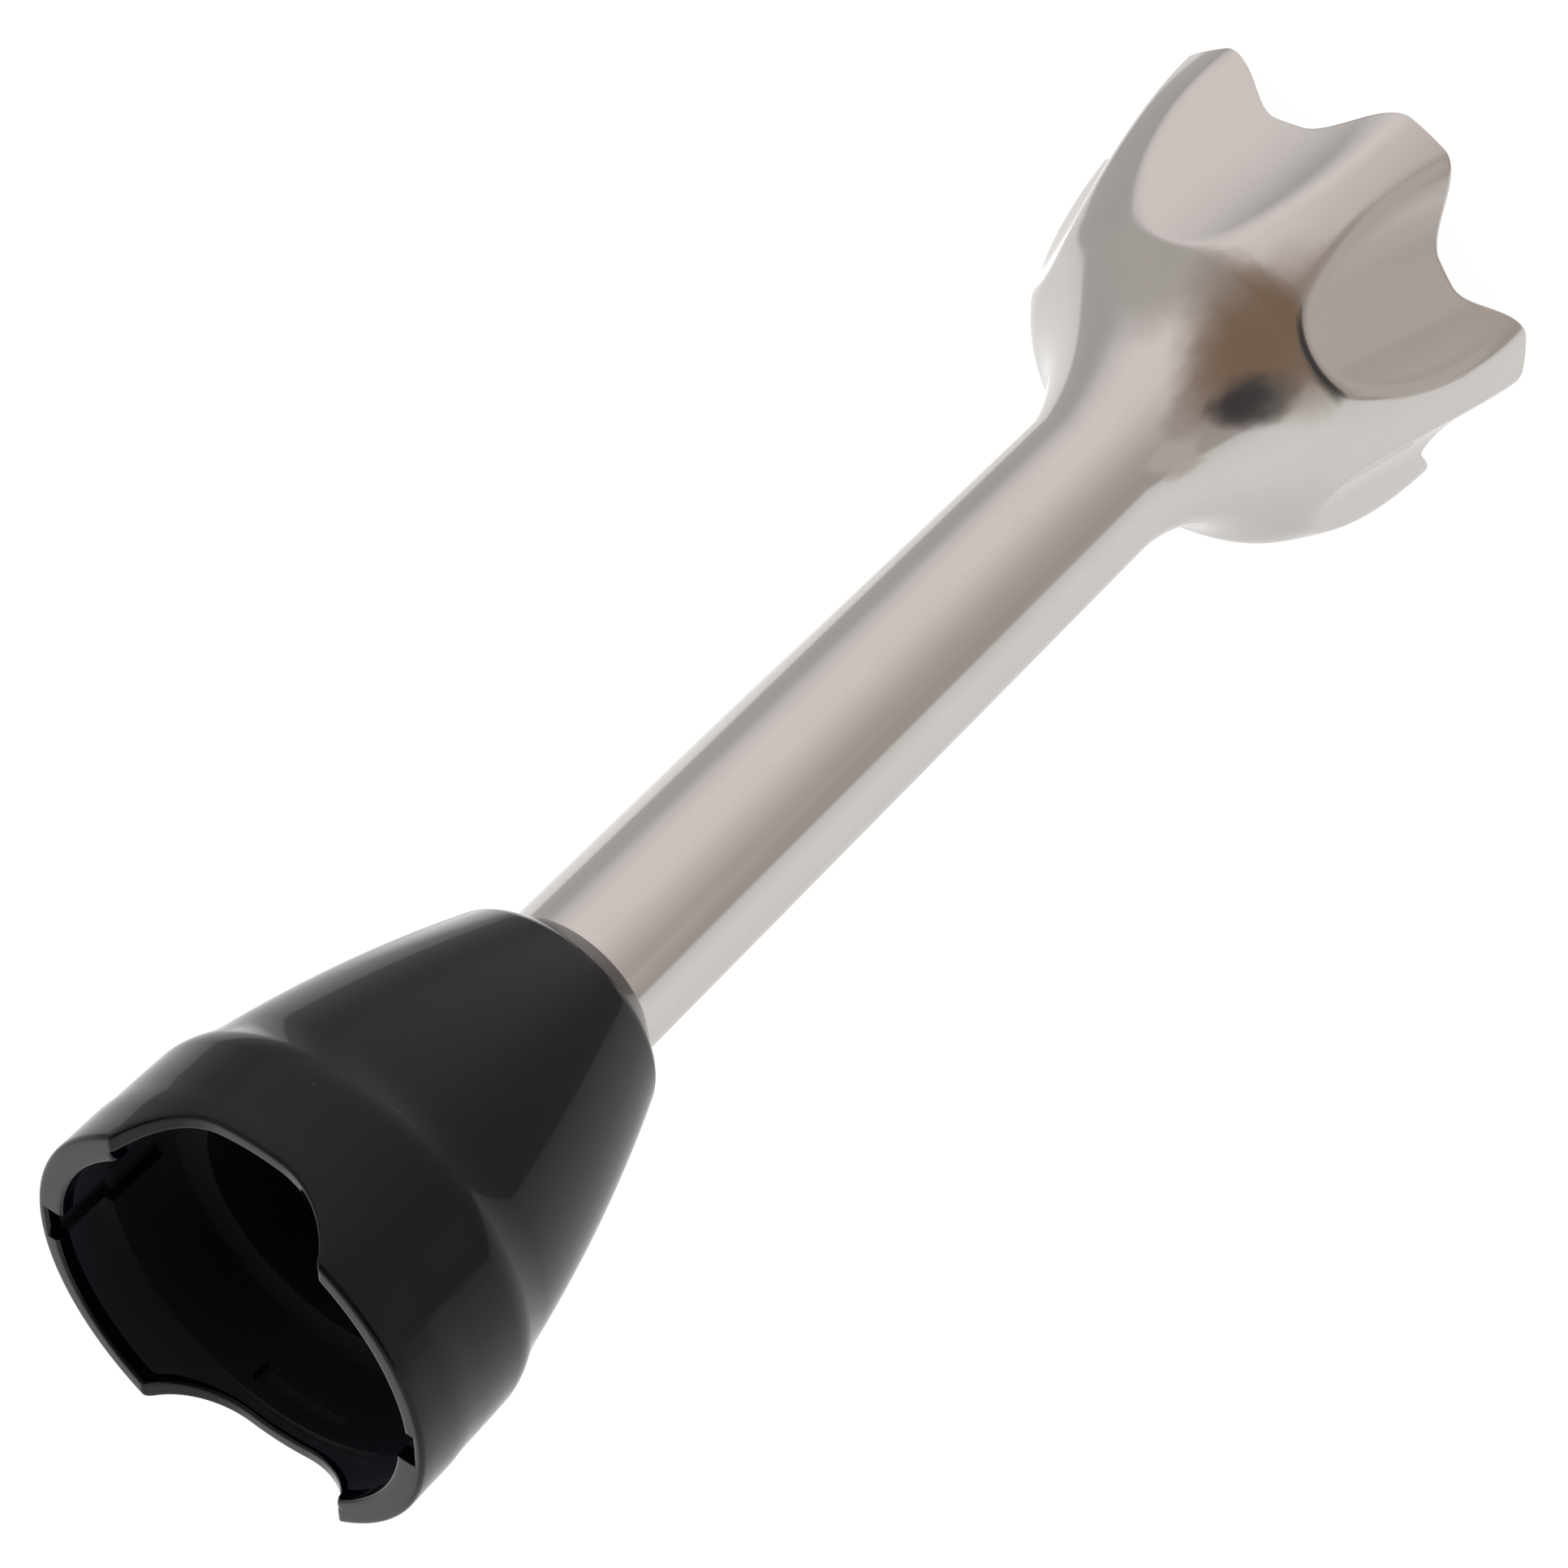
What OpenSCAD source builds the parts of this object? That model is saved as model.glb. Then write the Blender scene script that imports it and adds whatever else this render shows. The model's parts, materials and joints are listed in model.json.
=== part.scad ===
// Detachable blending leg of an immersion blender: coupling collar, steel tube,
// six-footed bell guard and the drive line that carries the blade.
// Millimetres. The leg stands on its bell: z = 0 is the plane of the feet, +Z runs up
// the drive axis to the coupling mouth, and one button cut-out faces the front (-Y).

/* [Overall] */
// Length from the plane of the feet to the coupling mouth
leg_length = 214; // [205:1:240]
// Outer diameter of the steel tube
tube_d = 21; // [21:0.1:21.6]
// Wall of the steel tube and of the bell
steel_wall = 0.8; // [0.6:0.1:1]

/* [Coupling collar] */
// Radius of the collar at its mouth
mouth_r = 26; // [25.8:0.1:27]
// Length of the collar along the axis
collar_length = 58.4; // [58.4:0.1:59]
// Height of the straight band below the mouth
band_height = 16.2; // [15.8:0.1:16.6]
// Wall of the collar beside its mouth
collar_wall = 2.2; // [2:0.1:2.2]
// Radius of the bore that takes the motor unit
socket_r = 22.6; // [22.4:0.1:22.7]
// Width of the flat bottom of each of the two button cut-outs
cutout_flat = 7.8; // [4:0.2:9]
// Depth of each button cut-out below the mouth
cutout_depth = 6; // [5:0.1:6.5]
// Radius of the hollow sides of a cut-out
cutout_side_r = 10.6; // [8:0.2:11]
// Width of each of the two keyways
keyway_w = 5; // [3:0.5:5.5]
// Width of each latch window
latch_w = 12; // [8:0.5:13]
// Height of each latch window
latch_h = 2.5; // [2:0.1:3]

/* [Bell] */
// Height at which the tube starts to flare
neck_z = 53.5; // [53:0.5:56]
// Radius of the hollow neck fillet
neck_fillet_r = 28; // [26:0.5:30]
// Steepest lean of the dome from the axis, in degrees
dome_angle = 53; // [50:1:55]
// Radius of the round shoulder of the dome
shoulder_r = 11.2; // [10:0.1:12]
// Lean of the skirt from the axis at its top, in degrees
skirt_top_angle = 28; // [26:1:30]
// Lean of the skirt from the axis at the feet, in degrees
skirt_foot_angle = 2; // [0:1:6]
// Radius of the hollow cylinder that shapes a scallop
scallop_r = 34; // [30:1:40]
// Distance from the axis to a notch in the rim
notch_r = 27; // [26:0.1:27.5]
// Height of a notch above the plane of the feet
notch_z = 6.6; // [5:0.1:7]
// Inward lean of a scallop's floor, as a slope
scallop_slope = 0.18; // [0.1:0.01:0.2]
// Sideways lean of a scallop in degrees for every 30 mm of height
scallop_lean = 6; // [0:1:8]
// Turn of the ring of feet about the axis, in degrees
bell_turn = 3.6; // [0:0.1:10]

/* [Drive line] */
// Diameter of the drive shaft
shaft_d = 6; // [5.8:0.1:6.2]
// Radial clearance of the shaft in its bushes
running_gap = 0.05; // [0.02:0.01:0.1]
// Radius of the circle that the blade tips sweep
blade_tip_r = 20; // [17:0.5:22]
// Height of the blade above the plane of the feet
blade_z = 11; // [10:0.5:12]
// Thickness of the blade
blade_t = 1.2; // [1:0.1:1.5]

/* [Hidden] */
$fn = 96;

black_abs = "#1d1e22";
black_nylon = "#26272b";
polished_steel = "#c9c6c3";
brushed_steel = "#a9abad";
bronze = "#a9793f";
white_acetal = "#e4e2dc";
seal_rubber = "#3a2a26";

eps = 0.05;                             // overlap that keeps a cut through its face
joint_gap = 0.05;                       // gap between pieces that only locate each other
tube_r = tube_d / 2;
tube_bore_r = tube_r - steel_wall;
shaft_r = shaft_d / 2;
shaft_way_r = shaft_r + 0.9;            // bore that the shaft passes without touching

// Heights in the collar, from the mouth down
nose_z = leg_length - collar_length;    // lower end of the collar
liner_top_z = leg_length - 7.5;
liner_step_z = leg_length - 17.6;
floor_z = leg_length - 34;              // floor of the socket
floor_t = 2;
flange_z = floor_z - 6;                 // underside of the tube's flange
flange_t = 0.8;
flange_r = 12.2;
shelf_z = flange_z - 1;                 // shelf under the gasket
shelf_t = 3;
cup_r = 18.9;                           // outside of the lower socket cup
cup_wall = 1.2;
holder_r = cup_r - 1.7;                 // upper bearing holder, between the floor and the flange
screw_ring_r = 14.5;
screw_r = 1.5;
screw_count = 3;
screw_angle = 30;                       // direction of the first screw
screw_way_r = screw_r + 0.1;            // bore that a screw passes without biting
screw_length = 12.5;
boss_r = 2.3;                           // boss round each screw under the shelf
boss_h = 3.4;
keyway_r = mouth_r - 1.3;               // bottom of a keyway
latch_top = 9;                          // depth of a latch window's top below the mouth
rim_fillet = 0.8;
liner_r = mouth_r - collar_wall - joint_gap;
step_t = 1.2;                           // thickness of the step under the latch ring
keyway_step = 2;                        // height of a keyway's lower end above that step

// Heights and radii of the lower bearing
housing_nose_z = 19;
housing_nose_r = 7.5;
housing_top_z = neck_z + 10.5;
plug_r = tube_bore_r - 0.08;
bush_r = 5.5;
seal_seat_r = 6;
seal_seat_depth = 8;
lower_bush_depth = 16;
liner_tube_r = 5.5;
liner_socket_depth = 8;
o_ring_z = neck_z + 4.5;
o_ring_section_r = 0.75;

// Heights and radii of the upper bearing
holder_foot_z = nose_z - 6;             // lower end of the upper bearing holder
upper_bush_z = flange_z - 14;
clip_space_z = flange_z - 1;            // bottom of the space round the shaft's clip
clip_space_r = 7.2;

// ---------------------------------------------------------------- shared outlines

// Points of an arc that starts at [r, z] and runs down while its lean from the axis goes
// from a0 to a1 degrees. grow is 1 where the outline widens downwards and -1 where it narrows.
function arc_down(start, radius, a0, a1, grow, steps) =
    let (bend = a1 > a0 ? 1 : -1)
    [for (i = [1 : steps])
        let (a = a0 + (a1 - a0) * i / steps)
        [start[0] + grow * bend * radius * (cos(a0) - cos(a)),
         start[1] - bend * radius * (sin(a) - sin(a0))]];

function last(list) = list[len(list) - 1];

// A ring: a cylinder with a hole through it
module ring(r_out, r_in, z0, z1) {
    translate([0, 0, z0])
        difference() {
            cylinder(r = r_out, h = z1 - z0);
            translate([0, 0, -eps]) cylinder(r = r_in, h = z1 - z0 + 2 * eps);
        }
}

// Places a child at each screw, at height z
module at_screws(z) {
    for (i = [0 : screw_count - 1])
        rotate([0, 0, screw_angle + 360 / screw_count * i])
            translate([screw_ring_r, 0, z]) children();
}

// ---------------------------------------------------------------- coupling collar

// Outside of the collar, from the mouth down to the nose: a drafted band, a soft step,
// a long convex taper and a chamfered nose
band_r = mouth_r - 0.34;                // the band narrows a little over its height
step_out_r = 7.5;                       // radii of the arcs from the band to the nose
step_in_r = 20;
taper_r = 181;
nose_bend_r = 3;
band_angle = 1.2;                       // leans from the axis, in degrees
step_angle = 24;
taper_top_angle = 11;
taper_nose_angle = 21;
nose_angle = 46;
collar_band = [[mouth_r - rim_fillet, leg_length],
               [mouth_r - 0.3 * rim_fillet, leg_length - 0.3 * rim_fillet],
               [mouth_r, leg_length - rim_fillet],
               [band_r, leg_length - band_height]];
collar_step_out = arc_down(last(collar_band), step_out_r, band_angle, step_angle, -1, 6);
collar_step_in = arc_down(last(collar_step_out), step_in_r, step_angle, taper_top_angle, -1, 6);
collar_taper = arc_down(last(collar_step_in), taper_r, taper_top_angle, taper_nose_angle, -1, 14);
collar_nose = arc_down(last(collar_taper), nose_bend_r, taper_nose_angle, nose_angle, -1, 6);
nose_r = last(collar_nose)[0] - (last(collar_nose)[1] - nose_z) * tan(nose_angle);
collar_outline = concat([[0, leg_length]], collar_band, collar_step_out, collar_step_in,
                        collar_taper, collar_nose, [[nose_r, nose_z], [0, nose_z]]);

// The space that the collar leaves for the socket, the bearing holder and the tube
module collar_cavity() {
    cavity_r = mouth_r - collar_wall;
    waist_r = cup_r + 2.4;
    waist_h = 10;                       // height over the floor where the waist closes in on the cup
    seat_r = cup_r + joint_gap;
    seat_z = floor_z - floor_t - 0.1;
    holder_way_r = holder_r + 0.1;
    rotate_extrude()
        polygon([[0, leg_length + eps], [cavity_r, leg_length + eps], [cavity_r, liner_step_z - step_t],
                 [waist_r, liner_step_z - step_t], [waist_r, floor_z + waist_h],
                 [seat_r, floor_z + 0.5], [seat_r, seat_z],
                 [holder_way_r, seat_z], [holder_way_r, shelf_z], [0, shelf_z]]);
    // Hollow between the shelf and the nose
    hollow_top_r = 15.6;
    hollow_foot_r = 12.2;
    hollow_foot_z = nose_z + 4.5;
    rotate_extrude()
        polygon([[0, shelf_z - shelf_t], [hollow_top_r, shelf_z - shelf_t], [hollow_foot_r, hollow_foot_z],
                 [0, hollow_foot_z]]);
    translate([0, 0, nose_z - eps]) cylinder(r = tube_r + joint_gap, h = shelf_z - nose_z + 2 * eps);
}

// A wedge of a ring between two angles, up to 60 degrees wide
module ring_sector(r_out, r_in, z0, z1, middle, width) {
    reach = 2 * r_out;
    intersection() {
        ring(r_out, r_in, z0, z1);
        rotate([0, 0, middle])
            translate([0, 0, z0 - eps])
                linear_extrude(z1 - z0 + 2 * eps)
                    polygon([[0, 0], [reach * cos(width / 2), -reach * sin(width / 2)],
                             [reach * cos(width / 2), reach * sin(width / 2)]]);
    }
}

// Outline of a button cut-out: a flat bottom between two hollow sides
module cutout_outline() {
    half = cutout_flat / 2;
    translate([-half, 0]) square([cutout_flat, 2 * cutout_side_r]);
    for (x = [-half, half]) translate([x, cutout_side_r]) circle(r = cutout_side_r);
}

module coupling_sleeve() {
    cutout_reach = 12;                  // how far a cut-out's cut runs through the wall
    keyway_cut = 4;
    pad_middles = [-27.2, 152.8];       // directions of the two thick parts of the wall
    pad_width = 54.4;                   // their width in degrees
    color(black_abs)
    difference() {
        union() {
            difference() {
                rotate_extrude() polygon(collar_outline);
                collar_cavity();
            }
            // Thick wall on one side of each keyway
            for (middle = pad_middles)
                ring_sector(mouth_r - 1, socket_r, liner_top_z + 0.1, leg_length, middle, pad_width);
            // Screw bosses under the shelf
            at_screws(shelf_z - shelf_t - boss_h) cylinder(r = boss_r, h = boss_h + 0.1);
        }
        for (side = [0, 180])
            rotate([0, 0, side])
                translate([0, -socket_r + cutout_reach / 2, leg_length - cutout_depth])
                    rotate([90, 0, 0]) linear_extrude(cutout_reach) cutout_outline();
        for (side = [-1, 1])
            translate([side * (keyway_r - keyway_cut / 2) - keyway_cut / 2, -keyway_w / 2, liner_top_z - 1])
                cube([keyway_cut, keyway_w, leg_length - liner_top_z + 2]);
        at_screws(shelf_z - shelf_t - boss_h - 0.6) cylinder(r = screw_r, h = shelf_t + boss_h + 1.6);
    }
}

// Ring round the upper part of the socket, with the windows that the motor unit's latches snap into
module latch_ring() {
    window_z = leg_length - latch_top - latch_h;
    keyway_depth = keyway_r - socket_r;
    color(black_nylon)
    difference() {
        ring(liner_r, socket_r, liner_step_z, liner_top_z);
        // Latch windows under the middle of each button cut-out
        translate([-latch_w / 2, -liner_r - 1, window_z]) cube([latch_w, 2 * liner_r + 2, latch_h]);
        // Keyways carry on down from the collar
        for (side = [0, 180])
            rotate([0, 0, side])
                translate([socket_r - 1, -keyway_w / 2, liner_step_z + keyway_step])
                    cube([keyway_depth + 1, keyway_w, liner_top_z - liner_step_z]);
    }
}

// Cup that takes the lower rim of the motor unit: a step, a narrower wall and a floor
module socket_cup() {
    shaft_hole_r = 7.2;
    color(black_nylon)
    difference() {
        union() {
            ring(liner_r, cup_r - cup_wall, liner_step_z - step_t, liner_step_z);
            ring(cup_r, cup_r - cup_wall, floor_z, liner_step_z - step_t);
            translate([0, 0, floor_z - floor_t]) cylinder(r = cup_r, h = floor_t);
        }
        translate([0, 0, floor_z - floor_t - eps]) cylinder(r = shaft_hole_r, h = floor_t + 2 * eps);
        at_screws(floor_z - floor_t - eps) cylinder(r = screw_way_r, h = floor_t + 2 * eps);
    }
}

// One screw with a pan head and a cross recess
module pan_screw() {
    head_r = 2.7;
    head_h = 1.9;
    recess_length = 3.2;
    recess_width = 0.7;
    recess_depth = 1.1;
    difference() {
        union() {
            translate([0, 0, -screw_length]) cylinder(r = screw_r - 0.02, h = screw_length);
            cylinder(r1 = head_r, r2 = head_r - 0.5, h = head_h);
        }
        for (turn = [0, 90])
            rotate([0, 0, turn])
                translate([-recess_length / 2, -recess_width / 2, head_h - recess_depth])
                    cube([recess_length, recess_width, 2 * recess_depth]);
    }
}

module socket_screws() {
    color(brushed_steel)
    at_screws(floor_z) pan_screw();
}

module tube_gasket() {
    color(seal_rubber) ring(flange_r, tube_r + joint_gap, shelf_z, flange_z);
}

// ---------------------------------------------------------------- steel tube and bell

module steel_tube() {
    color(polished_steel)
    ring(tube_r, tube_bore_r, neck_z, flange_z + flange_t);
}

// Steel ring brazed round the top of the tube, which the collar's shelf holds
module tube_flange() {
    color(brushed_steel) ring(flange_r, tube_r + 0.02, flange_z, flange_z + flange_t);
}

feet = 6;
pitch = 360 / feet;
foot_half_angle = 5;                    // half of the flat tip of a foot, in degrees
edge_blend_foot = 2.4;                  // softness of a scallop's edge at the feet
edge_blend_top = 0.7;                   // and at its upper end
blend_height = 30;                      // height at which the edge has its upper softness
lean_height = 30;                       // height over which a scallop leans by scallop_lean
notch_run = 1.2;                        // a notch reaches its full height before the scallop's middle
bell_rows = 26;
bell_columns = feet * 14;

// Profile of the dome: the neck fillet, the shoulder and the skirt are tangent arcs
shoulder_top = [tube_r + neck_fillet_r * (1 - cos(dome_angle)), neck_z - neck_fillet_r * sin(dome_angle)];
shoulder_centre = [shoulder_top[0] - shoulder_r * cos(dome_angle), shoulder_top[1] - shoulder_r * sin(dome_angle)];
skirt_top = [shoulder_centre[0] + shoulder_r * cos(skirt_top_angle),
             shoulder_centre[1] + shoulder_r * sin(skirt_top_angle)];
skirt_r = skirt_top[1] / (sin(skirt_top_angle) - sin(skirt_foot_angle));
skirt_centre = [skirt_top[0] - skirt_r * cos(skirt_top_angle), skirt_top[1] - skirt_r * sin(skirt_top_angle)];

// Radius of the dome at a height, measured on the surface that lies `skin` inside the outer one
function dome_r(z, skin) =
    z > shoulder_top[1] ? tube_r + neck_fillet_r - sqrt(pow(neck_fillet_r + skin, 2) - pow(neck_z - z, 2))
    : z > skirt_top[1] ? shoulder_centre[0] + sqrt(pow(shoulder_r - skin, 2) - pow(z - shoulder_centre[1], 2))
    : skirt_centre[0] + sqrt(pow(skirt_r - skin, 2) - pow(z - skirt_centre[1], 2));

// Angle from the nearest scallop's middle, which leans sideways with height
function off_scallop(angle, z) =
    let (a = angle - bell_turn - scallop_lean * z / lean_height)
    a - pitch * floor(a / pitch) - pitch / 2;

// Radius of a scallop's hollow cylinder, seen from the leg's axis
function scallop_surface_r(off, z, skin) =
    let (axis_r = notch_r + scallop_r - scallop_slope * (z - notch_z),
         reach = pow(scallop_r + skin, 2) - pow(axis_r * sin(off), 2))
    axis_r * cos(off) - sqrt(max(reach, 0));

function soft_min(a, b, blend) =
    let (h = max(0, min(1, 0.5 + 0.5 * (b - a) / blend)))
    b * (1 - h) + a * h - blend * h * (1 - h);

function bell_r(angle, z, skin) =
    soft_min(dome_r(z, skin), scallop_surface_r(off_scallop(angle, z), z, skin),
             edge_blend_top + (edge_blend_foot - edge_blend_top) * max(0, 1 - z / blend_height));

// Height of the rim: flat on a foot, raised in a notch
function rim_z(angle) =
    let (from_foot = (pitch / 2 - abs(off_scallop(angle, 0)) - foot_half_angle) / (pitch / 2 - foot_half_angle))
    notch_z * (1 - cos(180 * min(1, notch_run * max(0, from_foot)))) / 2;

function bell_point(angle, share, skin) =
    let (z = neck_z - (neck_z - rim_z(angle)) * share, r = bell_r(angle, z, skin))
    [r * cos(angle), r * sin(angle), z];

module bell_guard() {
    layer = bell_columns * (bell_rows + 1);
    function at(skin, row, column) = skin * layer + row * bell_columns + column % bell_columns;
    points = [for (skin = [0, 1]) for (row = [0 : bell_rows]) for (column = [0 : bell_columns - 1])
        bell_point(360 / bell_columns * column, row / bell_rows, skin * steel_wall)];
    outside = [for (row = [0 : bell_rows - 1]) for (c = [0 : bell_columns - 1])
        [at(0, row, c), at(0, row, c + 1), at(0, row + 1, c + 1), at(0, row + 1, c)]];
    inside = [for (row = [0 : bell_rows - 1]) for (c = [0 : bell_columns - 1])
        [at(1, row, c), at(1, row + 1, c), at(1, row + 1, c + 1), at(1, row, c + 1)]];
    top_edge = [for (c = [0 : bell_columns - 1]) [at(0, 0, c), at(1, 0, c), at(1, 0, c + 1), at(0, 0, c + 1)]];
    rim_edge = [for (c = [0 : bell_columns - 1])
        [at(0, bell_rows, c), at(0, bell_rows, c + 1), at(1, bell_rows, c + 1), at(1, bell_rows, c)]];
    color(polished_steel)
        polyhedron(points = points, faces = concat(outside, inside, top_edge, rim_edge), convexity = 10);
}

// ---------------------------------------------------------------- bearings and seals

module upper_bearing_holder() {
    color(white_acetal)
    difference() {
        union() {
            translate([0, 0, holder_foot_z])
                cylinder(r = tube_bore_r - joint_gap, h = flange_z - holder_foot_z + flange_t);
            translate([0, 0, flange_z + flange_t])
                cylinder(r = holder_r, h = floor_z - floor_t - flange_z - flange_t);
        }
        translate([0, 0, holder_foot_z - eps]) cylinder(r = shaft_way_r, h = floor_z - holder_foot_z);
        translate([0, 0, holder_foot_z - eps]) cylinder(r = liner_tube_r + joint_gap, h = liner_socket_depth);
        translate([0, 0, upper_bush_z]) cylinder(r = bush_r, h = clip_space_z - upper_bush_z);
        translate([0, 0, clip_space_z]) cylinder(r = clip_space_r, h = floor_z - clip_space_z);
        at_screws(flange_z) cylinder(r = screw_way_r, h = floor_z - flange_z);
    }
}

module upper_bush() {
    color(bronze) ring(bush_r - 0.02, shaft_r + running_gap, upper_bush_z, clip_space_z - 0.1);
}

// Washer between the bush and the clip that holds the shaft up
module thrust_washer() {
    washer_r = 6.2;
    color(white_acetal) ring(washer_r, shaft_r + 0.1, clip_space_z, clip_space_z + 0.8);
}

// Plastic tube that stiffens the leg and keeps the two bearings in line
module bearing_tube() {
    color(white_acetal)
        ring(liner_tube_r, shaft_way_r, housing_top_z - liner_socket_depth + 0.1,
             holder_foot_z + liner_socket_depth - 0.2);
}

// Outline of the lower housing: a nose over the blade, a flared skirt and a plug in the neck
module lower_bearing_housing() {
    nose_edge = 1;                      // chamfer of the nose's lower edge
    waist = [9, housing_nose_z + 12];
    skirt = [14, housing_nose_z + 14.5];
    skirt_edge = 1;
    plug_foot_z = housing_nose_z + 25;
    groove_depth = 1.5;
    groove_half = 1.1;
    color(black_nylon)
    difference() {
        rotate_extrude()
            polygon([[0, housing_nose_z], [housing_nose_r - nose_edge, housing_nose_z],
                     [housing_nose_r, housing_nose_z + nose_edge], [housing_nose_r, waist[1] - 3], waist,
                     skirt, [skirt[0], skirt[1] + skirt_edge], [plug_r, plug_foot_z],
                     [plug_r, housing_top_z], [0, housing_top_z]]);
        translate([0, 0, housing_nose_z - eps])
            cylinder(r = shaft_way_r, h = housing_top_z - housing_nose_z + 2 * eps);
        translate([0, 0, housing_nose_z - eps]) cylinder(r = seal_seat_r, h = seal_seat_depth + eps);
        translate([0, 0, housing_nose_z + seal_seat_depth - eps]) cylinder(r = bush_r, h = lower_bush_depth + eps);
        translate([0, 0, housing_top_z - liner_socket_depth])
            cylinder(r = liner_tube_r + joint_gap, h = liner_socket_depth + eps);
        ring(plug_r + 1, plug_r - groove_depth, o_ring_z - groove_half, o_ring_z + groove_half);
    }
}

module housing_o_ring() {
    color(seal_rubber)
    translate([0, 0, o_ring_z])
        rotate_extrude() translate([tube_bore_r - o_ring_section_r - 0.01, 0]) circle(r = o_ring_section_r, $fn = 32);
}

module lower_bush() {
    color(bronze)
        ring(bush_r - 0.02, shaft_r + running_gap, housing_nose_z + seal_seat_depth + 0.2,
             housing_nose_z + seal_seat_depth + lower_bush_depth - 0.2);
}

// Lip seal: an outer band with a lip that leans in to the shaft
module shaft_seal() {
    z0 = housing_nose_z + 2.4;
    z1 = housing_nose_z + seal_seat_depth - 0.2;
    band_out_r = seal_seat_r - 0.02;
    band_in_r = seal_seat_r - 1;
    top_r = shaft_r + 0.4;
    top_t = 1.2;
    lip_r = shaft_r + running_gap;
    color(seal_rubber)
    rotate_extrude()
        polygon([[band_out_r, z0], [band_out_r, z1], [top_r, z1], [top_r, z1 - top_t], [band_in_r, z1 - top_t],
                 [band_in_r, z0 + 2.6], [shaft_way_r, z0 + 1.6], [lip_r, z0 + 0.9], [lip_r, z0 + 0.5],
                 [band_in_r, z0]]);
}

// Garter spring that presses the lip to the shaft
module seal_spring() {
    wire_r = 0.35;
    spring_r = shaft_r + 1.45;
    color(brushed_steel)
    translate([0, 0, housing_nose_z + 5])
        rotate_extrude() translate([spring_r, 0]) circle(r = wire_r, $fn = 24);
}

module seal_retainer() {
    color(brushed_steel) ring(seal_seat_r - 0.02, shaft_r + 0.5, housing_nose_z + 0.6, housing_nose_z + 2.3);
}

// ---------------------------------------------------------------- drive line

shaft_foot_z = blade_z - 4.2;
spigot_r = shaft_r - 0.8;               // the shaft's lower end, which carries the blade
spigot_way_r = spigot_r + 0.02;
clip_z = flange_z;                      // underside of the retaining clip
clip_t = 0.8;
coupler_z = floor_z - 4;
coupler_top_z = floor_z + 12;
drive_socket_depth = 8;
shaft_top_z = coupler_top_z - drive_socket_depth;
pin_z = floor_z + 2.5;
pin_r = 1;
washer_t = 0.8;

module drive_shaft() {
    shoulder_z = blade_z + blade_t;     // the shaft narrows here, on top of the blade
    top_edge = 0.6;
    color(brushed_steel)
    difference() {
        union() {
            translate([0, 0, shaft_foot_z]) cylinder(r = spigot_r, h = shoulder_z - shaft_foot_z + eps);
            translate([0, 0, shoulder_z]) cylinder(r = shaft_r, h = shaft_top_z - shoulder_z - top_edge);
            translate([0, 0, shaft_top_z - top_edge])
                cylinder(r1 = shaft_r, r2 = shaft_r - top_edge, h = top_edge);
        }
        // Groove for the clip
        ring(shaft_r + 1, shaft_r - 0.5, clip_z - 0.05, clip_z + clip_t + 0.05);
        translate([0, 0, pin_z]) rotate([90, 0, 0]) cylinder(r = pin_r, h = 20, center = true);
    }
}

// Coupling half with a six-pointed socket for the motor unit's driver
module drive_coupler() {
    body_r = 6;
    edge_h = 1;
    edge_w = 0.8;
    root_r = 3.1;                       // round core of the socket
    point_r = 4.4;                      // the socket's six points
    color(black_nylon)
    difference() {
        union() {
            translate([0, 0, coupler_z]) cylinder(r = body_r, h = coupler_top_z - coupler_z - edge_h);
            translate([0, 0, coupler_top_z - edge_h]) cylinder(r1 = body_r, r2 = body_r - edge_w, h = edge_h);
        }
        translate([0, 0, coupler_z - eps]) cylinder(r = shaft_r + 0.02, h = shaft_top_z - coupler_z + 2 * eps);
        translate([0, 0, shaft_top_z]) cylinder(r = root_r, h = drive_socket_depth + 1);
        for (turn = [0, 60])
            rotate([0, 0, turn])
                translate([0, 0, shaft_top_z + 0.5]) cylinder(r = point_r, h = drive_socket_depth, $fn = 3);
        translate([0, 0, pin_z]) rotate([90, 0, 0]) cylinder(r = pin_r, h = 20, center = true);
    }
}

module coupler_pin() {
    pin_length = 11.6;
    color(brushed_steel)
    translate([0, 0, pin_z]) rotate([90, 0, 0]) cylinder(r = pin_r - 0.02, h = pin_length, center = true);
}

// Open clip that snaps into the shaft's groove
module shaft_clip() {
    clip_r = 5.4;
    mouth_w = 3.8;                      // opening that snaps over the shaft
    relief_r = 0.9;                     // reliefs that let the clip's arms spring
    color(brushed_steel)
    difference() {
        ring(clip_r, shaft_r - 0.45, clip_z, clip_z + clip_t);
        translate([0, -mouth_w / 2, clip_z - 1]) cube([2 * clip_r, mouth_w, clip_t + 2]);
        for (turn = [105, 255])
            rotate([0, 0, turn])
                translate([shaft_r + 0.1, 0, clip_z - 1]) cylinder(r = relief_r, h = clip_t + 2);
    }
}

module blade_hub() {
    hub_r = 4.6;
    color(brushed_steel) ring(hub_r, shaft_r + 0.02, blade_z + blade_t, housing_nose_z - 0.4);
}

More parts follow.
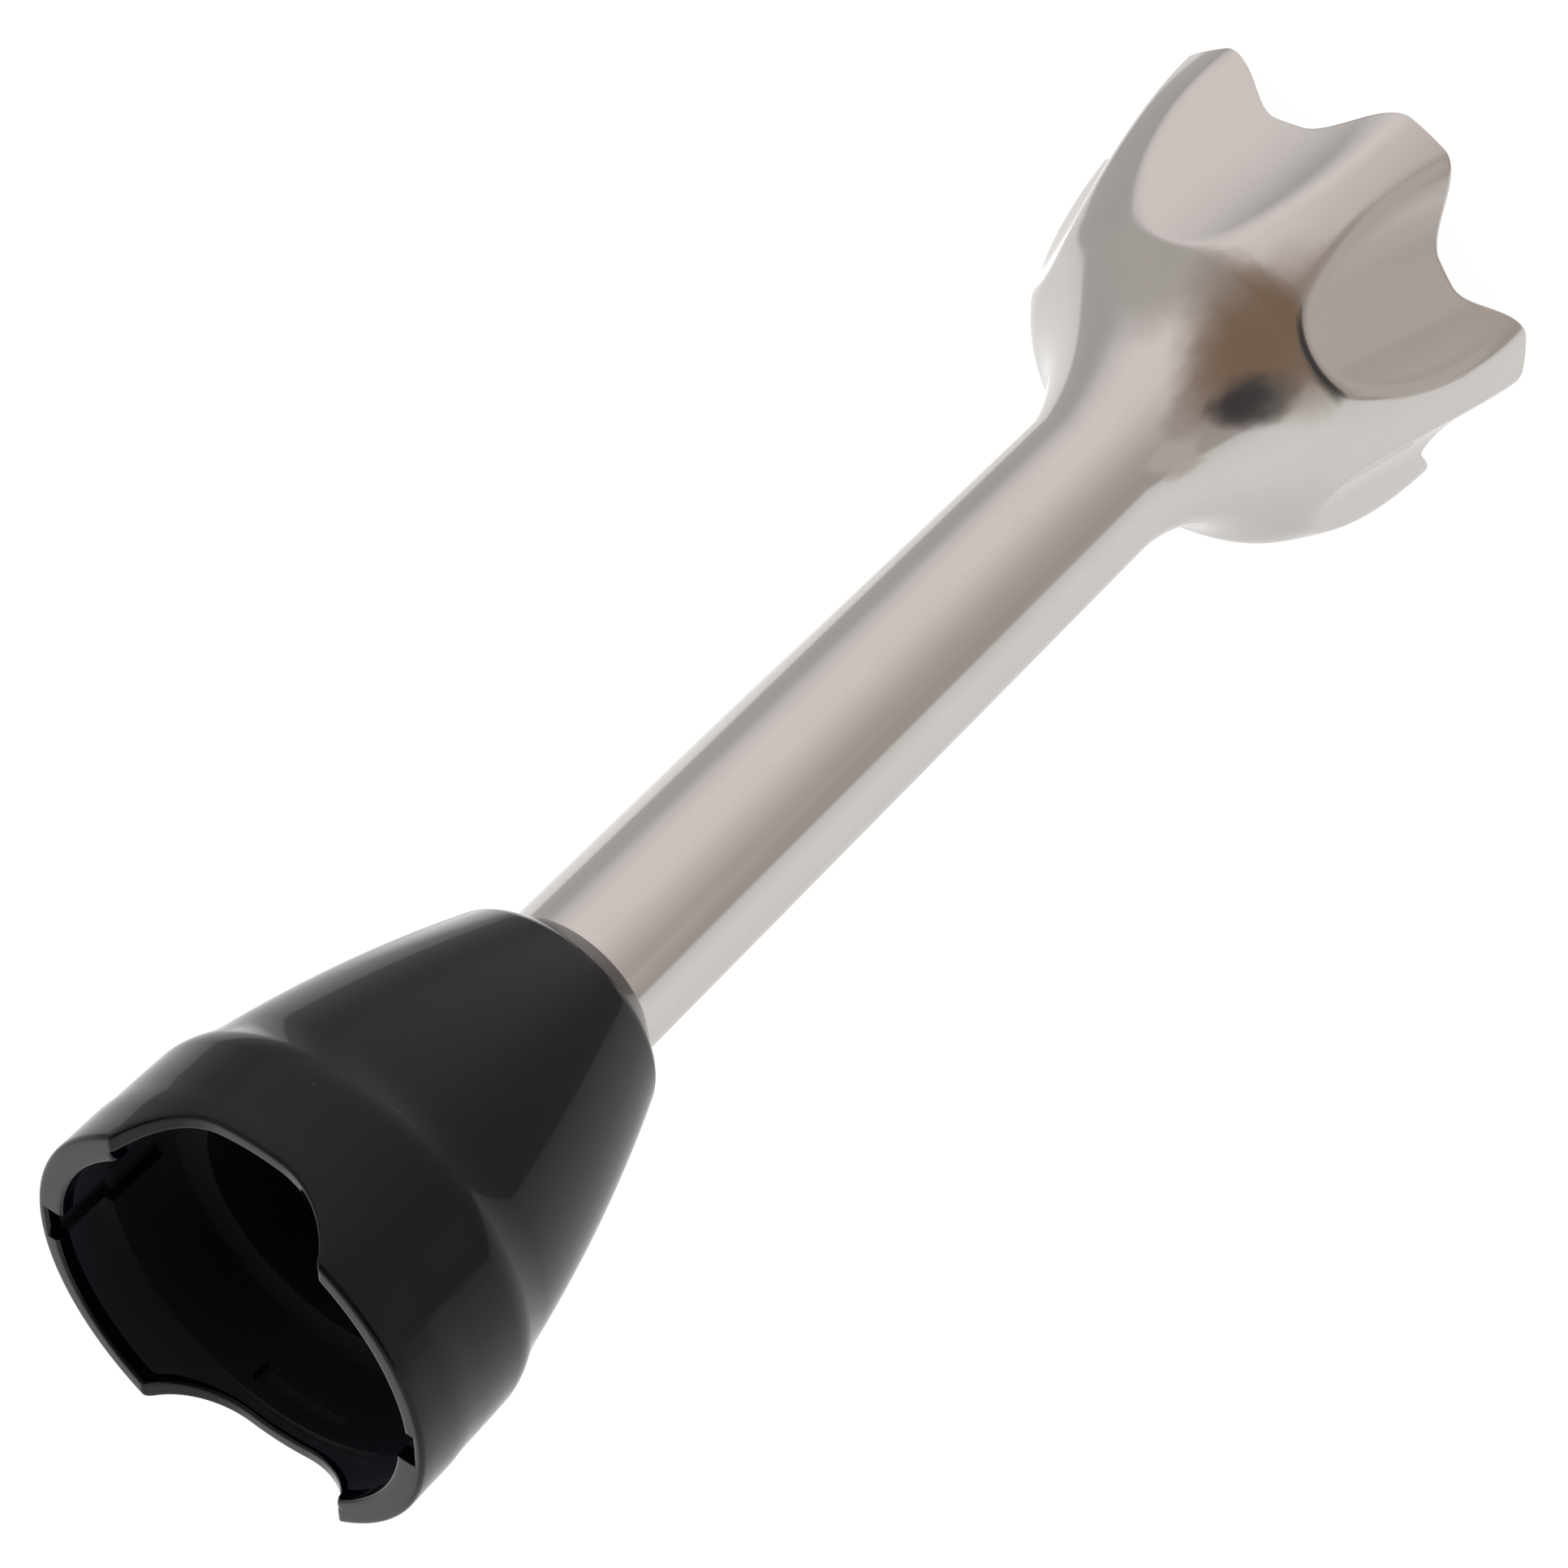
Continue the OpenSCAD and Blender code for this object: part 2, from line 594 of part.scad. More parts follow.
// Two flat wings with swept cutting edges, whose tips bend, one up and one down
module blade() {
    centre_r = 6.5;
    root_half = 5;                      // half width of a wing at the axis
    bend_r = 13;                        // distance of the bend from the axis
    bend_back = 4;                      // half widths at the bend, behind and before
    bend_front = 2.25;
    tip_bend = 24;                      // degrees
    tip_length = (blade_tip_r - bend_r) / cos(tip_bend) - 0.6;
    tip_back = 3.4;
    tip_corner = 1.5;
    tip_front = 0.6;
    edge_sweep = 11.9;                  // sweep and slope of the ground bevel, in degrees
    bevel_angle = 32;
    color(polished_steel)
    difference() {
        union() {
            translate([0, 0, blade_z]) cylinder(r = centre_r, h = blade_t);
            for (side = [0, 1])
                rotate([0, 0, 180 * side]) {
                    translate([0, 0, blade_z])
                        linear_extrude(blade_t)
                            polygon([[0, -root_half], [bend_r, -bend_back], [bend_r, bend_front], [0, root_half]]);
                    translate([bend_r, 0, blade_z + blade_t / 2])
                        rotate([0, side == 0 ? -tip_bend : tip_bend, 0])
                            translate([-0.3, 0, -blade_t / 2])
                                linear_extrude(blade_t)
                                    polygon([[0, -bend_back], [tip_length - tip_corner, -tip_back],
                                             [tip_length, -tip_corner], [tip_length, tip_front],
                                             [0, bend_front]]);
                }
        }
        translate([0, 0, blade_z - 1]) cylinder(r = spigot_way_r, h = blade_t + 2);
        // Ground bevel along each leading edge
        for (side = [0, 1])
            rotate([0, 0, 180 * side])
                translate([0, root_half, blade_z + blade_t])
                    rotate([0, 0, -edge_sweep])
                        rotate([-bevel_angle, 0, 0])
                            translate([centre_r + 0.1, -1.6, 0]) cube([16, 4, 3]);
    }
}

module blade_washer() {
    washer_r = 4.2;
    color(brushed_steel) ring(washer_r, spigot_way_r + 0.03, blade_z - washer_t, blade_z);
}

// Hexagonal nut with a chamfered lower face
module blade_nut() {
    nut_h = 2.8;
    corner_r = 4.1;
    chamfer_r1 = 3.4;
    chamfer_r2 = 6;
    color(brushed_steel)
    translate([0, 0, blade_z - washer_t - nut_h])
    difference() {
        intersection() {
            cylinder(r = corner_r, h = nut_h, $fn = 6);
            cylinder(r1 = chamfer_r1, r2 = chamfer_r2, h = nut_h);
        }
        translate([0, 0, -1]) cylinder(r = spigot_way_r, h = nut_h + 2);
    }
}

// ---------------------------------------------------------------- the pieces

coupling_sleeve();
latch_ring();
socket_cup();
socket_screws();
tube_gasket();
tube_flange();
steel_tube();
bell_guard();
upper_bearing_holder();
upper_bush();
thrust_washer();
bearing_tube();
lower_bearing_housing();
housing_o_ring();
lower_bush();
shaft_seal();
seal_spring();
seal_retainer();
drive_shaft();
drive_coupler();
coupler_pin();
shaft_clip();
blade_hub();
blade();
blade_washer();
blade_nut();
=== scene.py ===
# %% [markdown]
# # The blending leg of a hand blender
#
# The real object is the part that a hand blender's motor unit plugs into: a glossy black collar, a polished
# steel tube, and a bell with six feet that stands over the blade. In this lesson each visible piece is built
# as a mesh from its own working drawing, in metres, standing on its feet with the drive axis up +Z.
#
# The imported model is loaded first. It gives the bodies that turn.

# %% Load the imported leg
import json
import math

import bpy
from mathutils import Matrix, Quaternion, Vector


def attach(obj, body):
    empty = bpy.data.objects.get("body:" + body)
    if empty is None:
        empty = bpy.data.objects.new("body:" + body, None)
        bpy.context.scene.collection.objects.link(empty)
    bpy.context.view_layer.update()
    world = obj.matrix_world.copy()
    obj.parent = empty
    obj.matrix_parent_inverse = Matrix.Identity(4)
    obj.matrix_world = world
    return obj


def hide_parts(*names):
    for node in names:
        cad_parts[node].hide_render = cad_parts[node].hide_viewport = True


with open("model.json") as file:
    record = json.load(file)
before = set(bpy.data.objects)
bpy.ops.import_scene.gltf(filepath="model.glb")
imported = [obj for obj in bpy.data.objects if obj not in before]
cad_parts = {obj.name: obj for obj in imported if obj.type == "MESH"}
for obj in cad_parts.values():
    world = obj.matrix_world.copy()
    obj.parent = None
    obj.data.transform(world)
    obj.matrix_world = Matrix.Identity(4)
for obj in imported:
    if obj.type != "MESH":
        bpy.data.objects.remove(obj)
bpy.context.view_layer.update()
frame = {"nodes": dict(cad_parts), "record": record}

MM = 0.001

# %% [markdown]
# ## The camera
#
# A long lens looks down on the leg from the front left and is rolled, so that the leg lies across the
# picture with its collar near and low and its bell far and high. A camera can be placed by hand, but an
# aim point, a distance and three angles say the same thing in numbers that can be read and changed.

# %% Place the camera
AIM = Vector((0, 0, 0.11563))
CAMERA_DISTANCE = 0.54064
CAMERA_AZIMUTH = -28.5
CAMERA_ELEVATION = 34.553
CAMERA_ROLL = -134.65
LENS_MM = 107.676
SENSOR_MM = 36

azimuth, elevation = math.radians(CAMERA_AZIMUTH), math.radians(CAMERA_ELEVATION)
to_camera = Vector((math.sin(azimuth) * math.cos(elevation), -math.cos(azimuth) * math.cos(elevation),
                    math.sin(elevation)))
camera = bpy.data.objects.new("studio_camera", bpy.data.cameras.new("studio_camera"))
bpy.context.scene.collection.objects.link(camera)
camera.data.lens = LENS_MM
camera.data.sensor_width = SENSOR_MM
camera.data.clip_start = 0.05
camera.rotation_mode = "QUATERNION"
camera.location = AIM + CAMERA_DISTANCE * to_camera
roll = Quaternion((0, 0, 1), math.radians(CAMERA_ROLL))
camera.rotation_quaternion = (-to_camera).to_track_quat("-Z", "Y") @ roll
bpy.context.scene.camera = camera
print("camera at mm:", [round(v / MM) for v in camera.location])

# %% [markdown]
# ## Colours and nodes
#
# Colours are picked as sRGB hex values, which is how paint charts and drawing programs give them. Blender's
# shaders add and multiply light, so every colour is turned to linear values by one function. One more
# function adds a shader node: it takes the node's settings by name and its sockets as numbers or links.

# %% Helpers for colours and nodes
def linear(hex_colour):
    """An sRGB hex colour as linear RGBA."""
    parts = [int(hex_colour[i : i + 2], 16) / 255 for i in (1, 3, 5)]
    return [p / 12.92 if p <= 0.04045 else ((p + 0.055) / 1.055) ** 2.4 for p in parts] + [1]


def add_node(tree, kind, sockets=None, **settings):
    """A node of that kind, with its settings, and its input sockets set to values or linked to outputs."""
    made = tree.nodes.new(kind)
    for name, value in settings.items():
        setattr(made, name, value)
    for key, value in (sockets or {}).items():
        if isinstance(value, bpy.types.NodeSocket):
            tree.links.new(value, made.inputs[key])
        else:
            made.inputs[key].default_value = value
    return made


def blank_material(name):
    """A material with an empty node tree, and that tree."""
    material = bpy.data.materials.new(name)
    material.use_nodes = True
    material.node_tree.nodes.clear()
    return material, material.node_tree


def finish_material(tree, sockets):
    """The surface shader with these sockets, joined to the material's output."""
    shader = add_node(tree, "ShaderNodeBsdfPrincipled", sockets)
    add_node(tree, "ShaderNodeOutputMaterial", {"Surface": shader.outputs["BSDF"]})
    return shader


print("mid grey #808080 is", round(linear("#808080")[0], 3), "in linear light")

# %% [markdown]
# ## The studio
#
# Polished steel has no look of its own: it shows the room. A product studio is a white tent, with a few
# soft darker fields where there is no lamp. Here the room is painted on the world by direction, first in
# bands round the horizon. Polished pieces see this room below the horizon too, as in a tent with a glass
# table. Each band is given as degrees anticlockwise from the camera's side and the colour of the room there.

# %% Paint the studio on the world
ROOM_BANDS = [(-180, "#ffffff"), (-165, "#eae9e8"), (-146, "#eceae9"), (-128, "#f5f4f3"), (-112, "#fdfdfc"),
              (-90, "#ffffff"), (-75, "#f9f9f8"), (-65.2, "#ecebea"), (-64, "#c1bcbb"), (-50, "#beb8b4"),
              (-38, "#c6c0bc"), (-25, "#cdc6c3"), (-10, "#dcd5d4"), (5, "#ebe4e4"), (20, "#f9f3f3"),
              (35, "#fffaf9"), (55, "#fffaf9"), (66, "#f8f4f4"), (80, "#e8e6e6"), (92, "#cdcaca"),
              (103, "#c5c3c4"), (123.4, "#cac9ca"), (124.6, "#f7f8fa"), (135, "#ffffff"), (179, "#ffffff")]

world = bpy.data.worlds.new("studio_room")
bpy.context.scene.world = world
world.use_nodes = True
room = world.node_tree
room.nodes.clear()
direction = add_node(room, "ShaderNodeTexCoord").outputs["Generated"]
split = add_node(room, "ShaderNodeSeparateXYZ", {0: direction})
bearing = add_node(room, "ShaderNodeMath", {0: split.outputs["Y"], 1: split.outputs["X"]},
                   operation="ARCTAN2")
camera_bearing = math.atan2(to_camera.y, to_camera.x)
turned = add_node(room, "ShaderNodeMath", {0: bearing.outputs[0], 1: camera_bearing}, operation="SUBTRACT")
wrapped = add_node(room, "ShaderNodeMath", {0: turned.outputs[0], 1: math.pi, 2: -math.pi}, operation="WRAP")
share = add_node(room, "ShaderNodeMapRange",
                 {"Value": wrapped.outputs[0], "From Min": -math.pi, "From Max": math.pi})
ramp = add_node(room, "ShaderNodeValToRGB", {"Fac": share.outputs[0]})
stops = ramp.color_ramp.elements
for i, (degrees, shade) in enumerate(ROOM_BANDS):
    place = (degrees + 180) / 360
    if i < 2:
        stops[i].position = place
    else:
        stops.new(place)
    stops[i].color = linear(shade)
print("room bands:", len(ROOM_BANDS))

# %% [markdown]
# Round soft fields lie over the bands: pale grey ones for the walls, and brown and dark ones for the side of
# the studio that has no lamp. A perfect circle would look drawn on the steel, so each field is looked up
# through a direction that a noise has pushed about, which gives it an uneven edge. One more field makes the
# room brighter: a lamp below and behind the leg, which lights the collar's left edge.

# %% Lay soft fields over the bands
FIELD_WARP = 0.22
WARP_RIPPLES = 4.5
ripple = add_node(room, "ShaderNodeTexNoise", {"Vector": direction, "Scale": WARP_RIPPLES, "Detail": 2.0})
ripple = add_node(room, "ShaderNodeVectorMath", {0: ripple.outputs["Color"], 1: (0.5, 0.5, 0.5)},
                  operation="SUBTRACT")
ripple = add_node(room, "ShaderNodeVectorMath", {0: ripple.outputs[0], "Scale": FIELD_WARP},
                  operation="SCALE")
warped = add_node(room, "ShaderNodeVectorMath", {0: direction, 1: ripple.outputs[0]}, operation="ADD")
warped = add_node(room, "ShaderNodeVectorMath", {0: warped.outputs[0]}, operation="NORMALIZE").outputs[0]


def room_field(bearing_degrees, height_degrees, reach, soft, looked_up):
    """1 inside a round field of the room, 0 outside; reach and soft are in degrees."""
    b, h = camera_bearing + math.radians(bearing_degrees), math.radians(height_degrees)
    centre = (math.cos(b) * math.cos(h), math.sin(b) * math.cos(h), math.sin(h))
    along = add_node(room, "ShaderNodeVectorMath", {0: looked_up, 1: centre}, operation="DOT_PRODUCT")
    edge = add_node(room, "ShaderNodeMapRange",
                    {"Value": along.outputs["Value"], "From Min": math.cos(math.radians(reach + soft)),
                     "From Max": math.cos(math.radians(reach))}, interpolation_type="SMOOTHSTEP")
    return edge.outputs[0]


# Colour, bearing, height, reach and soft edge of each field
ROOM_FIELDS = [("#d6d1ce", -66, -18, 5, 9), ("#d3cdca", -45, -18, 12, 7), ("#cbc8c6", 88, 48, 16, 34),
               ("#b9afab", -24, 10, 8, 22), ("#8f7a68", -16, 48, 8, 46), ("#6e6a68", -53, 31, 0, 21),
               ("#4c4a4c", -41, 23, 1, 20)]
LAMP_STRENGTH = 1.7
shown = ramp.outputs["Color"]
for colour, bearing_degrees, height_degrees, reach, soft in ROOM_FIELDS:
    inside = room_field(bearing_degrees, height_degrees, reach, soft, warped)
    mixed = add_node(room, "ShaderNodeMix", {0: inside, 6: shown, 7: linear(colour)}, data_type="RGBA")
    shown = mixed.outputs[2]
lamp_field = room_field(bearing_degrees=160, height_degrees=-54, reach=15, soft=5, looked_up=direction)
brightness = add_node(room, "ShaderNodeMapRange",
                      {"Value": lamp_field, "To Min": 1.0, "To Max": LAMP_STRENGTH})
tent = add_node(room, "ShaderNodeBackground", {"Color": shown, "Strength": brightness.outputs[0]})
add_node(room, "ShaderNodeOutputWorld", {"Surface": tent.outputs[0]})
print("room fields:", len(ROOM_FIELDS))

# %% [markdown]
# The floor is a wide pale sheet. It glows, so that it stays white under the soft light and takes
# only a faint shadow at the feet. Mirror rays pass it, so that the steel shows the tent and not the floor,
# and seen from below it is clear, so that the blade can be looked at from underneath.

# %% Lay the floor and hang the lamps
FLOOR_REACH = 12.0
FLOOR_Z = -0.0002
FLOOR_GLOW = 0.95
CORNERS = ((-1, -1), (1, -1), (1, 1), (-1, 1))
floor_mesh = bpy.data.meshes.new("studio_floor")
floor_mesh.from_pydata([(x * FLOOR_REACH, y * FLOOR_REACH, FLOOR_Z) for x, y in CORNERS], [], [(0, 1, 2, 3)])
floor = bpy.data.objects.new("studio_floor", floor_mesh)
bpy.context.scene.collection.objects.link(floor)
floor.visible_glossy = False
floor_finish, tree = blank_material("white_paper_floor")
paper = add_node(tree, "ShaderNodeBsdfDiffuse", {"Color": linear("#8c8c8c")})
glow = add_node(tree, "ShaderNodeEmission", {"Color": linear("#ffffff"), "Strength": FLOOR_GLOW})
lit = add_node(tree, "ShaderNodeAddShader", {0: paper.outputs[0], 1: glow.outputs[0]})
clear = add_node(tree, "ShaderNodeBsdfTransparent")
below = add_node(tree, "ShaderNodeNewGeometry").outputs["Backfacing"]
sheet = add_node(tree, "ShaderNodeMixShader", {0: below, 1: lit.outputs[0], 2: clear.outputs[0]})
add_node(tree, "ShaderNodeOutputMaterial", {"Surface": sheet.outputs[0]})
floor_mesh.materials.append(floor_finish)


def softbox(name, bearing_degrees, height_degrees, distance, size, watts):
    """A square lamp that looks at the leg; its bearing is anticlockwise from the camera's side."""
    lamp = bpy.data.lights.new(name, "AREA")
    lamp.size = size
    lamp.energy = watts
    holder = bpy.data.objects.new(name, lamp)
    bpy.context.scene.collection.objects.link(holder)
    b, h = camera_bearing + math.radians(bearing_degrees), math.radians(height_degrees)
    away = Vector((math.cos(b) * math.cos(h), math.sin(b) * math.cos(h), math.sin(h)))
    holder.location = AIM + distance * away
    holder.rotation_mode = "QUATERNION"
    holder.rotation_quaternion = away.to_track_quat("Z", "Y")
    return holder


softbox("back_softbox", bearing_degrees=180, height_degrees=38, distance=1.1, size=0.8, watts=0.4)
bpy.context.scene.view_settings.view_transform = "Standard"
print("floor half width m:", FLOOR_REACH)

# %% [markdown]
# ## Building by rings
#
# Both big pieces are shells that run round the axis: a list of rings, each ring a list of points with one
# point for each column. One function joins neighbouring rings with four-sided faces. A shell that is built
# this way is closed, has no stray faces, and its columns can be packed closer where an edge needs it.

# %% A shell from rings of points
def shell_from_rings(name, rings, sharp_degrees=60):
    """A closed piece from rings of points in millimetres; the last ring joins the first one."""
    columns = len(rings[0])
    points = [(x * MM, y * MM, z * MM) for ring in rings for x, y, z in ring]
    faces = []
    for k in range(len(rings)):
        here, there = k * columns, (k + 1) % len(rings) * columns
        for c in range(columns):
            d = (c + 1) % columns
            faces.append((here + c, there + c, there + d, here + d))
    mesh = bpy.data.meshes.new(name)
    mesh.from_pydata(points, [], faces)
    mesh.validate()
    mesh.shade_smooth()
    mesh.set_sharp_from_angle(angle=math.radians(sharp_degrees))
    piece = bpy.data.objects.new(name, mesh)
    bpy.context.scene.collection.objects.link(piece)
    print(f"{name}: {len(rings)} rings of {columns}, {len(faces)} faces")
    return piece


# %% [markdown]
# ## The polished tube and bell
#
# On the real leg a drawn tube is welded to a pressed bell, and both are ground and mirror-polished as one
# skin. The bell is a dome of revolution that six hollow cylinders have bitten into: each bite is a scallop,
# each web left between two bites ends in a foot, and each bite leans a little sideways. The dome's outline
# is three arcs that run into each other, so it stays smooth, and a soft minimum of dome and cylinder rounds
# the scallop's edge. The inside is the same surface with its radii changed by the sheet's thickness. This
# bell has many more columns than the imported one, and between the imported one's columns it would stand a few
# hundredths of a millimetre proud, so it is drawn in by a trim that is full at the feet and none at the neck.

# %% The dome's outline
LEG_LENGTH = 214.0
TUBE_R = 10.5
SHEET = 0.8
NECK_Z = 53.5
NECK_FILLET_R = 28.0
SHOULDER_R = 11.2
SKIRT_TOP = math.radians(28)
SKIRT_FOOT = math.radians(2)
DOME_LEAN = math.radians(53)

shoulder_top_z = NECK_Z - NECK_FILLET_R * math.sin(DOME_LEAN)
shoulder_r = TUBE_R + NECK_FILLET_R * (1 - math.cos(DOME_LEAN)) - SHOULDER_R * math.cos(DOME_LEAN)
shoulder_z = shoulder_top_z - SHOULDER_R * math.sin(DOME_LEAN)
skirt_top_z = shoulder_z + SHOULDER_R * math.sin(SKIRT_TOP)
SKIRT_R = skirt_top_z / (math.sin(SKIRT_TOP) - math.sin(SKIRT_FOOT))
skirt_r = shoulder_r + (SHOULDER_R - SKIRT_R) * math.cos(SKIRT_TOP)
skirt_z = skirt_top_z - SKIRT_R * math.sin(SKIRT_TOP)


def dome_r(z, skin):
    """Radius of the dome at a height, on the surface that lies skin inside the outer one."""
    if z > shoulder_top_z:
        return TUBE_R + NECK_FILLET_R - math.sqrt((NECK_FILLET_R + skin) ** 2 - (NECK_Z - z) ** 2)
    if z > skirt_top_z:
        return shoulder_r + math.sqrt((SHOULDER_R - skin) ** 2 - (z - shoulder_z) ** 2)
    return skirt_r + math.sqrt((SKIRT_R - skin) ** 2 - (z - skirt_z) ** 2)


print("radius across the feet, mm:", round(dome_r(0, 0), 2))

# %% The scallops and the rim
PITCH = 60.0
BELL_TURN = 3.6
SCALLOP_R = 34.0
NOTCH_R = 27.0
NOTCH_Z = 6.6
SCALLOP_SLOPE = 0.18
SCALLOP_LEAN = 6.0 / 30  # degrees sideways for each millimetre up
NOTCH_RUN = 1.2
FOOT_HALF_ANGLE = 5.0
EDGE_SOFT_FOOT, EDGE_SOFT_TOP, EDGE_SOFT_HEIGHT = 2.4, 0.7, 30.0
FOOT_TRIM = 0.05


def off_scallop(angle, z):
    """Degrees from the middle of the nearest scallop."""
    return (angle - BELL_TURN - PITCH / 2 - SCALLOP_LEAN * z + PITCH / 2) % PITCH - PITCH / 2


def soft_min(a, b, blend):
    """The smaller of two values, rounded over where they are within blend of each other."""
    h = max(0.0, min(1.0, 0.5 + 0.5 * (b - a) / blend))
    return b * (1 - h) + a * h - blend * h * (1 - h)


def bell_r(angle, z, skin):
    """Radius of the bell in one direction at one height."""
    off = math.radians(off_scallop(angle, z))
    axis_r = NOTCH_R + SCALLOP_R - SCALLOP_SLOPE * (z - NOTCH_Z)
    reach = (SCALLOP_R + skin) ** 2 - (axis_r * math.sin(off)) ** 2
    scallop = axis_r * math.cos(off) - math.sqrt(max(reach, 0))
    soft = EDGE_SOFT_TOP + (EDGE_SOFT_FOOT - EDGE_SOFT_TOP) * max(0, 1 - z / EDGE_SOFT_HEIGHT)
    return soft_min(dome_r(z, skin), scallop, soft) - FOOT_TRIM * (1 - z / NECK_Z)


def rim_z(angle):
    """Height of the rim: flat on a foot, raised in a notch."""
    half = PITCH / 2
    from_foot = (half - abs(off_scallop(angle, 0)) - FOOT_HALF_ANGLE) / (half - FOOT_HALF_ANGLE)
    return NOTCH_Z * (1 - math.cos(math.pi * min(1, NOTCH_RUN * max(0, from_foot)))) / 2


print("notch height mm:", round(rim_z(BELL_TURN + PITCH / 2), 2), "foot height mm:", rim_z(BELL_TURN))

# %% Build the steel skin
TUBE_TOP_Z = 174.8
TUBE_RINGS = [TUBE_TOP_Z, 174.2, 160, 140, 120, 100, 80, 66, 58]
BELL_COLUMNS = 480
OUTER_RINGS = 120
INNER_RINGS = 44
EDGE_STEPS = 8
bell_angles = [360 / BELL_COLUMNS * c for c in range(BELL_COLUMNS)]


def round_ring(radius, z, angles):
    """A plain circle of points."""
    return [(radius * math.cos(math.radians(a)), radius * math.sin(math.radians(a)), z) for a in angles]


def bell_ring(share, skin):
    """A ring of the bell: share 0 is at the neck and 1 is where the rounded rim starts."""
    ring = []
    for a in bell_angles:
        z = NECK_Z - (NECK_Z - rim_z(a) - SHEET / 2) * share
        r = bell_r(a, z, skin)
        ring.append((r * math.cos(math.radians(a)), r * math.sin(math.radians(a)), z))
    return ring


def rim_ring(turn):
    """A ring of the rounded rim; turn goes from 0, outside, to 180 degrees, inside."""
    ring = []
    for a in bell_angles:
        z = rim_z(a) + SHEET / 2 * (1 - math.sin(turn))
        r = bell_r(a, z, SHEET / 2 * (1 - math.cos(turn)))
        ring.append((r * math.cos(math.radians(a)), r * math.sin(math.radians(a)), z))
    return ring


steel_rings = [round_ring(TUBE_R, z, bell_angles) for z in TUBE_RINGS]
steel_rings += [bell_ring(k / OUTER_RINGS, 0) for k in range(OUTER_RINGS + 1)]
steel_rings += [rim_ring(math.pi * k / EDGE_STEPS) for k in range(1, EDGE_STEPS)]
steel_rings += [bell_ring(1 - k / INNER_RINGS, SHEET) for k in range(INNER_RINGS + 1)]
steel_rings += [round_ring(TUBE_R - SHEET, z, bell_angles) for z in reversed(TUBE_RINGS)]
polished_skin = shell_from_rings("polished_tube_and_bell", steel_rings)

# %% [markdown]
# ## The black collar
#
# The collar is one injection moulding in black ABS, and its tool was polished, so it comes out with a deep
# gloss. Its outline runs down from the mouth as a drafted band, a soft step, a long taper that bulges a
# little, and a chamfered nose that closes on the tube. Two thumb cut-outs dip into the mouth, two keyways
# run down inside it, and beside each keyway the wall is thicker for some 54 degrees. A boolean
# would leave ragged faces and no fillets, so the shell is built from rings again, and the height of the
# mouth and the radius of the inside are functions of the direction.

# %% The collar's outline
MOUTH_R = 26.0
COLLAR_LENGTH = 58.4
BAND_HEIGHT = 16.2
BAND_DRAFT = 0.34
EDGE_R = 0.8
NOSE_Z = LEG_LENGTH - COLLAR_LENGTH
BAND_FOOT_Z = LEG_LENGTH - BAND_HEIGHT
BAND_LEAN = 1.2
STEP_OUT_R, STEP_LEAN = 7.5, 24
STEP_IN_R, TAPER_TOP_LEAN = 20, 11
TAPER_R, TAPER_NOSE_LEAN = 181, 21
NOSE_BEND_R, NOSE_LEAN = 3, 46


def arc_down(start, radius, lean_from, lean_to, steps):
    """Points of an arc that narrows downwards while its lean goes from one angle to another."""
    bend = 1 if lean_to > lean_from else -1
    a0 = math.radians(lean_from)
    made = []
    for i in range(1, steps + 1):
        a = math.radians(lean_from + (lean_to - lean_from) * i / steps)
        made.append((start[0] - bend * radius * (math.cos(a0) - math.cos(a)),
                     start[1] - bend * radius * (math.sin(a) - math.sin(a0))))
    return made


def wall_r(z):
    """Radius of the drafted band at a height."""
    return MOUTH_R - BAND_DRAFT * (LEG_LENGTH - EDGE_R - z) / (BAND_HEIGHT - EDGE_R)


outline = [(wall_r(BAND_FOOT_Z), BAND_FOOT_Z)]
outline += arc_down(outline[-1], STEP_OUT_R, BAND_LEAN, STEP_LEAN, steps=12)
outline += arc_down(outline[-1], STEP_IN_R, STEP_LEAN, TAPER_TOP_LEAN, steps=12)
outline += arc_down(outline[-1], TAPER_R, TAPER_TOP_LEAN, TAPER_NOSE_LEAN, steps=24)
outline += arc_down(outline[-1], NOSE_BEND_R, TAPER_NOSE_LEAN, NOSE_LEAN, steps=10)
nose_r = outline[-1][0] - (outline[-1][1] - NOSE_Z) * math.tan(math.radians(NOSE_LEAN))
print("nose radius mm:", round(nose_r, 2), "outline points:", len(outline))

# %% The mouth's height and the inside's radius
CUTOUT_DEPTH = 6.0
CUTOUT_HALF_FLAT = 3.9
CUTOUT_SIDE_R = 10.6
CORNER_SOFT = 0.9
THIN_R = 23.8
SOCKET_R = 22.6
KEYWAY_HALF = 2.5
KEYWAY_FLOOR = 24.7
PAD_MIDDLES = (-27.2, 152.8)
PAD_HALF = 27.2
PAD_SOFT = 0.5
cutout_side = math.sqrt(CUTOUT_SIDE_R**2 - (CUTOUT_SIDE_R - CUTOUT_DEPTH) ** 2)
cutout_slope = cutout_side / (CUTOUT_SIDE_R - CUTOUT_DEPTH)


def mouth_z(x):
    """Height of the mouth's edge over a point x to the side of a cut-out's middle."""
    side = max(0.0, abs(x) - CUTOUT_HALF_FLAT)
    if side < cutout_side:
        rise = CUTOUT_SIDE_R - math.sqrt(CUTOUT_SIDE_R**2 - side**2)
    else:
        rise = CUTOUT_DEPTH + cutout_slope * (side - cutout_side)
    return LEG_LENGTH - CUTOUT_DEPTH + soft_min(CUTOUT_DEPTH, rise, CORNER_SOFT)


